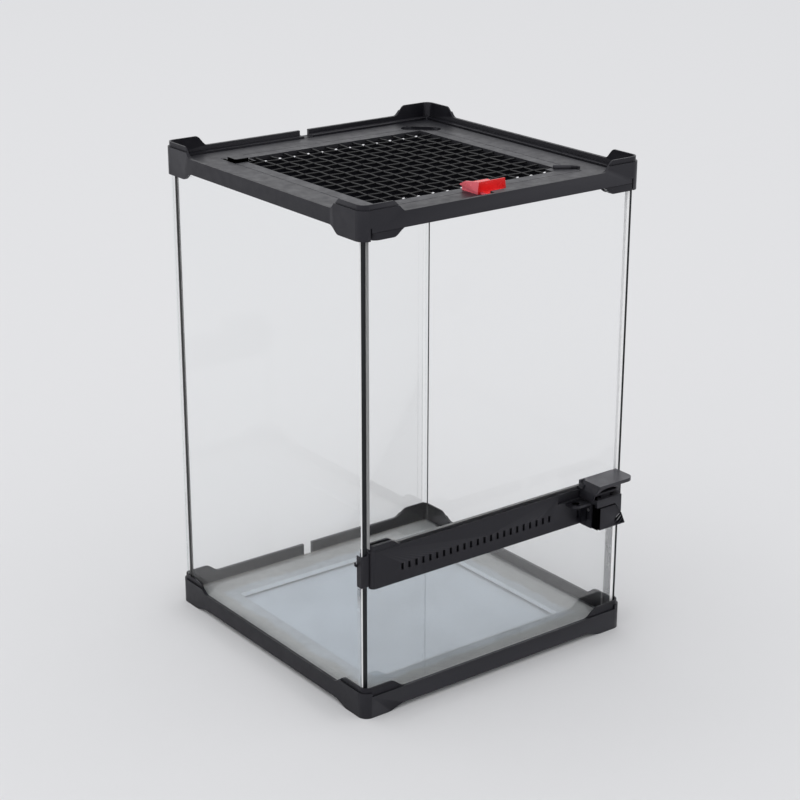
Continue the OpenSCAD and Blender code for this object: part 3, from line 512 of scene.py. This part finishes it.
def paint_details():
    """Picks out single faces: the ledge, the ledge's lip with a painted glow, painted shade in
    hollows and gaps, a painted highlight on the latch's left side, the handle's paler top and the
    panes' edges.
    """
    paint_faces("base_frame", LEDGE_FILM, is_ledge)
    # The ledge's lip gets the film's pale colour and a painted glow that lifts it out of its shade
    paint_faces("base_frame", GLOWING_LEDGE_LIP, is_ledge_lip)
    # Painted shade: the housing's inner wall and the padlock hole are painted black because they
    # stand in shade
    paint_faces("lock_housing", PAINTED_SHADE, is_lock_hollow)
    # Painted shade: the lever's left side is painted black because it stands in shade
    paint_faces("lock_lever", PAINTED_SHADE, lambda face: face.normal.x < -SQUARELY_FACING)
    # Painted shade: the walls of the cuts round the lid's tongue are painted black
    paint_faces("lid_frame", PAINTED_SHADE, is_lid_cut)
    # Painted highlight: the latch's left side gets a lighter red for the light falling on it
    paint_faces("lid_latch", PAINTED_HIGHLIGHT_RED, lambda face: face.normal.x < -SQUARELY_FACING)
    # The handle's top faces get a paler grip plastic
    grip_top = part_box("door_handle")[1].z
    paint_faces("door_handle", PALE_TOP_GRIP, lambda face: face.center.z > grip_top - 0.1 * MM)
    for name in ("left_glass", "right_glass", "door_glass"):
        low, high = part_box(name)
        across = 0 if high.x - low.x < high.y - low.y else 1
        paint_faces(name, RIM, lambda face: abs(face.normal[across]) < FACING)
    for name, rim in (("left_glass", LEFT_RIM), ("right_glass", RIGHT_RIM)):
        paint_faces(name, rim, lambda face: face.normal.y < -FACING)
        paint_faces(name, CLEAR_RIM, lambda face: face.normal.y > FACING)
    paint_faces("door_glass", DOOR_SILL, lambda face: face.normal.z < -FACING)
    paint_faces("door_glass", DOOR_HINGE_RIM, lambda face: face.normal.x < -FACING)


# ---------------------------------------------------------------- new pieces


def new_piece(name, mesh, materials):
    """An object made of a built mesh, which is used up."""
    data = bpy.data.meshes.new(name)
    mesh.to_mesh(data)
    mesh.free()
    for material in materials:
        data.materials.append(material)
    piece = bpy.data.objects.new(name, data)
    bpy.context.scene.collection.objects.link(piece)
    return piece


def ring_of(mesh, centre, side, top, radius, sides):
    """Vertices on a circle round a centre, in the plane of two directions."""
    turns = (2 * math.pi * k / sides for k in range(sides))
    return [mesh.verts.new(centre + (side * math.cos(turn) + top * math.sin(turn)) * radius)
            for turn in turns]


def skin(mesh, rings, second_material):
    """Closed tube through rings; after each ring it may change to the second material."""
    for a, b, index in zip(rings, rings[1:], second_material):
        for k in range(len(a)):
            after = (k + 1) % len(a)
            face = mesh.faces.new((a[k], a[after], b[after], b[k]))
            face.material_index = int(index)
    mesh.faces.new(list(reversed(rings[0])))
    mesh.faces.new(rings[-1])


# ---------------------------------------------------------------- lid mesh

WIRE_PITCH = 10.4 * MM
WIRE_RADIUS = 0.56 * MM
CRIMP = 0.15 * MM
WIRE_SIDES = 8
STEPS_PER_PITCH = 16
# Bare swellings where the wires leave the front border and cross the last wire at the back
END_PLACE = 1.9 * MM
END_REACH = 1.1 * MM
END_RISE = 0.35 * MM
END_SWELL = 0.15 * MM
BARE_ABOVE = 0.4


def crimped_wire(mesh, middle, along, across, length, sign, crossings, bare_places=()):
    """A wire that waves over and under the wires it crosses, with bare swellings at places."""
    steps = round(length / WIRE_PITCH * STEPS_PER_PITCH)
    rings = []
    bare = []
    for i in range(steps + 1):
        run = length * (i / steps - 0.5)
        phase = math.pi * (run / WIRE_PITCH + (crossings - 1) / 2)
        end = sum(math.exp(-((run - place) / END_REACH) ** 2) for place in bare_places)
        centre = middle + along * run + UP * (sign * CRIMP * math.cos(phase) + END_RISE * end)
        slope = -sign * CRIMP * math.pi / WIRE_PITCH * math.sin(phase)
        normal = (UP - along * slope).normalized()
        radius = WIRE_RADIUS + END_SWELL * end
        rings.append(ring_of(mesh, centre, across, normal, radius, WIRE_SIDES))
        bare.append(end > BARE_ABOVE)
    skin(mesh, rings, bare)


def weave_mesh():
    """Two sets of crimped wires, woven over and under each other across the lid's opening."""
    low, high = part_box("lid_mesh")
    mid = (low + high) / 2
    span = high - low
    count_x = math.floor(span.x / WIRE_PITCH) - 1
    count_y = math.floor(span.y / WIRE_PITCH) - 1
    right, back = Vector((1, 0, 0)), Vector((0, 1, 0))
    bare_places = (END_PLACE - span.y / 2, (count_y - 1) / 2 * WIRE_PITCH)
    mesh = bmesh.new()
    for i in range(count_y):
        middle = mid + back * (i - (count_y - 1) / 2) * WIRE_PITCH
        crimped_wire(mesh, middle, right, back, span.x, 1 if i % 2 else -1, count_x)
    for i in range(count_x):
        middle = mid + right * (i - (count_x - 1) / 2) * WIRE_PITCH
        sign = -1 if i % 2 else 1
        crimped_wire(mesh, middle, back, -right, span.y, sign, count_y, bare_places)
    piece = new_piece("woven_mesh", mesh, (WIRE, BARE_END))
    piece.data.shade_smooth()
    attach(piece, "lid")
    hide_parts("lid_mesh")


# ---------------------------------------------------------------- small raised details

# The raised tab: from the lid's left side and from its back, and above the mesh's top
TAB_SIDES = (1.2 * MM, 11.2 * MM)
TAB_ENDS = (13.9 * MM, 3.5 * MM)
TAB_HEIGHTS = (-0.4 * MM, 1.9 * MM)
TAB_CORNER = 2 * MM
TAB_SOFT_EDGE = 0.2 * MM
CORNER_STEPS = 5

# Painted glints, as thin pale strips in the grip's sunk corner: how far left of the housing's
# right side, how high above its foot, length, and slope in degrees
GLINT_STRIPS = ((2.8 * MM, 6.3 * MM, 3.8 * MM, 33.7), (1.7 * MM, 4.35 * MM, 4.4 * MM, 42),
              (0.6 * MM, 2.0 * MM, 3.4 * MM, 42))
# Places along a glint strip as shares of its length, and its radius there
GLINT_PROFILE = ((-0.5, 0.12 * MM), (-0.36, 0.32 * MM), (0.36, 0.32 * MM), (0.5, 0.12 * MM))
GLINT_BEHIND = 0.36 * MM
GLINT_SIDES = 8


def raise_lid_tab():
    """The lid's tongue at the back left stands a little above the deck, with its upright sides
    painted black as shade.
    """
    low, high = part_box("lid_frame")
    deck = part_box("lid_mesh")[1].z
    left, right = (low.x + place for place in TAB_SIDES)
    front, back = (high.y - place for place in TAB_ENDS)
    under, top = (deck + place for place in TAB_HEIGHTS)
    mesh = bmesh.new()
    outline = []
    corners = ((right - TAB_CORNER, back - TAB_CORNER), (left + TAB_CORNER, back - TAB_CORNER),
               (left + TAB_CORNER, front + TAB_CORNER), (right - TAB_CORNER, front + TAB_CORNER))
    for quarter, (x, y) in enumerate(corners):
        for step in range(CORNER_STEPS + 1):
            turn = math.pi / 2 * (quarter + step / CORNER_STEPS)
            outline.append(mesh.verts.new((x + TAB_CORNER * math.cos(turn),
                                           y + TAB_CORNER * math.sin(turn), under)))
    face = mesh.faces.new(outline)
    grown = bmesh.ops.extrude_face_region(mesh, geom=[face])
    for item in grown["geom"]:
        if isinstance(item, bmesh.types.BMVert):
            item.co.z = top
    bmesh.ops.recalc_face_normals(mesh, faces=mesh.faces)
    tab = new_piece("lid_tab", mesh, (DECK, PAINTED_SHADE))
    # Painted shade: the tab's upright sides get the black shade material
    for face in tab.data.polygons:
        face.material_index = 1 if abs(face.normal.z) < FACING else 0
    soften(tab, TAB_SOFT_EDGE)
    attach(tab, "lid")


def add_painted_glints():
    """Painted glints: thin pale strips in the sunk corner of the lever's finger grip, standing in
    for light caught on its edges.
    """
    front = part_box("lock_lever")[0].y
    low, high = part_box("lock_housing")
    inwards = Vector((0, 1, 0))
    mesh = bmesh.new()
    for over, up, length, degrees in GLINT_STRIPS:
        lean = math.radians(degrees)
        along = Vector((math.cos(lean), 0, math.sin(lean)))
        side = Vector((-math.sin(lean), 0, math.cos(lean)))
        middle = Vector((high.x - over, front + GLINT_BEHIND, low.z + up))
        rings = [ring_of(mesh, middle + along * length * share, side, inwards, radius,
                         GLINT_SIDES) for share, radius in GLINT_PROFILE]
        skin(mesh, rings, [False] * len(rings))
    bmesh.ops.recalc_face_normals(mesh, faces=mesh.faces)
    edges = new_piece("lever_painted_glints", mesh, (PAINTED_GLINT,))
    edges.data.shade_smooth()
    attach(edges, "lever")


# ---------------------------------------------------------------- stage

FLOOR_SIZE = 60.0
FLOOR_COLOUR = (0.76, 0.76, 0.76 * 1.01, 1)
SKY_COLOUR = (0.98, 0.985, 1.0, 1)
SKY_STRENGTH = 0.955
# Name, place, the point it is aimed at, size and power: a broad soft light overhead and a weak
# one from the hinge side
LIGHTS = (("overhead", (-0.9, 0.8, 3.8), (0, 0, 0.1), 2.6, 12),
          ("hinge_side", (-2.6, -0.6, 1.5), (0, 0, 0.15), 1.0, 2))


def add_stage():
    """Pale floor that keeps the tank's soft shadow, under an even pale sky."""
    mesh = bpy.data.meshes.new("floor")
    half = FLOOR_SIZE / 2
    mesh.from_pydata([(-half, -half, 0), (half, -half, 0), (half, half, 0), (-half, half, 0)],
                     [], [(0, 1, 2, 3)])
    floor = bpy.data.objects.new("floor", mesh)
    bpy.context.scene.collection.objects.link(floor)
    material, links, output, add = new_material("floor_paper")
    shader = add("ShaderNodeBsdfDiffuse", Color=FLOOR_COLOUR)
    links.new(shader.outputs["BSDF"], output.inputs["Surface"])
    mesh.materials.append(material)

    world = bpy.data.worlds.new("studio")
    bpy.context.scene.world = world
    world.use_nodes = True
    background = world.node_tree.nodes["Background"]
    background.inputs["Color"].default_value = SKY_COLOUR
    background.inputs["Strength"].default_value = SKY_STRENGTH


def add_lights():
    """Square area lights, each turned towards its aim."""
    for name, place, aim, size, power in LIGHTS:
        data = bpy.data.lights.new(name, "AREA")
        data.shape = "SQUARE"
        data.size = size
        data.energy = power
        light = bpy.data.objects.new(name, data)
        light.location = place
        light.rotation_mode = "QUATERNION"
        light.rotation_quaternion = (Vector(aim) - Vector(place)).to_track_quat("-Z", "Y")
        bpy.context.scene.collection.objects.link(light)


add_camera()
add_stage()
add_lights()
dress_nodes()
paint_details()
weave_mesh()
raise_lid_tab()
add_painted_glints()

bpy.context.scene.view_settings.view_transform = "Standard"
